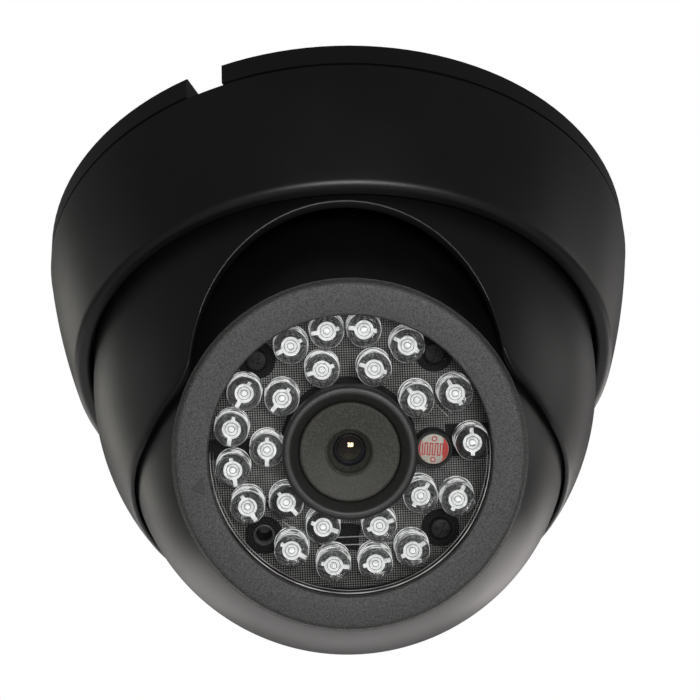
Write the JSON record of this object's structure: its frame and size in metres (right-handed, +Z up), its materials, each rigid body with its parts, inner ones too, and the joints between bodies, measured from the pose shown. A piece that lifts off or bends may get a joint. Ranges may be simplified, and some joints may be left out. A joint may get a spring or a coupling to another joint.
{
  "type": "dome camera",
  "caption": "Ceiling dome surveillance camera: a round base and cover ring with a turning hood and a tilting eyeball behind a flat window ringed with infrared lamps.",
  "frame": {"origin": "centre of the ceiling screw pattern, on the ceiling face of the base plate", "axes": "+Z up into the ceiling, square to the mounting face; the camera looks towards -Y and down; +X is to the right as seen from the front"},
  "size_m": [0.0934, 0.0934, 0.0711],
  "materials": {
    "housing": "satin moulded black plastic",
    "bezel": "spark-textured black plastic",
    "rubber_black": "soft black rubber",
    "acetal": "low-friction black plastic",
    "screw_steel": "zinc plated",
    "screw_black": "black oxide",
    "yoke_steel": "stamped sheet steel",
    "window": "clear flat window",
    "lamp_epoxy": "water-clear epoxy",
    "board_black": "black solder mask",
    "board_green": "green solder mask",
    "sensor_cell": "resin-coated ceramic",
    "lens_black": "fine matt black",
    "lens_glass": "coated lens glass",
    "chip": "moulded chip package",
    "capacitor": "aluminium can",
    "brass": "turned brass",
    "connector": "natural nylon",
    "lead": "sheathed wire bundle"
  },
  "bodies": {
    "ceiling_base": {"base_plate": "housing", "cable_grommet": "rubber_black", "cover_ring": "housing", "cover_screws": "screw_steel", "pan_seat_ring": "acetal", "pan_friction_ring": "rubber_black"},
    "turret": {"turret_hood": "housing"},
    "yoke": {"tilt_yoke": "yoke_steel", "tilt_pivot_pins": "screw_steel"},
    "eyeball": {"ball_front_shell": "housing", "ball_rear_shell": "housing", "front_bezel": "bezel", "window_gasket": "rubber_black", "light_sensor_sleeve": "rubber_black", "spin_friction_washer": "rubber_black", "ball_shell_screws": "screw_steel", "board_stack_screws": "screw_steel", "spin_retaining_clip": "screw_steel", "lamp_board_screws": "screw_black", "window_glass": "window", "outer_lamps": "lamp_epoxy", "inner_lamps": "lamp_epoxy", "lamp_board": "board_black", "sensor_board": "board_green", "power_board": "board_green", "light_sensor_cell": "sensor_cell", "lens_shroud": "lens_black", "lens_holder": "lens_black", "lens_lock_ring": "lens_black", "lens_barrel": "lens_black", "front_lens_element": "lens_glass", "rear_lens_element": "lens_glass", "infrared_filter": "lens_glass", "image_sensor": "chip", "sensor_board_chips": "chip", "power_board_coil": "chip", "power_board_capacitors": "capacitor", "board_spacers": "brass", "camera_cable_socket": "connector", "lamp_lead_plugs": "connector", "lamp_lead": "lead"}
  },
  "joints": [
    {"name": "pan", "type": "hinge", "parent": "ceiling_base", "child": "turret", "pos_m": [0, 0, -0.0139], "axis": [0, 0, 1], "range_deg": [-177, 177]},
    {"name": "tilt", "type": "hinge", "parent": "turret", "child": "yoke", "pos_m": [0, 0, -0.03745], "axis": [-1, 0, 0], "range_deg": [-43, 30]},
    {"name": "spin", "type": "hinge", "parent": "yoke", "child": "eyeball", "pos_m": [0, 0, -0.03745], "axis": [0, -0.682, -0.7314], "range_deg": [-177, 177]}
  ]
}
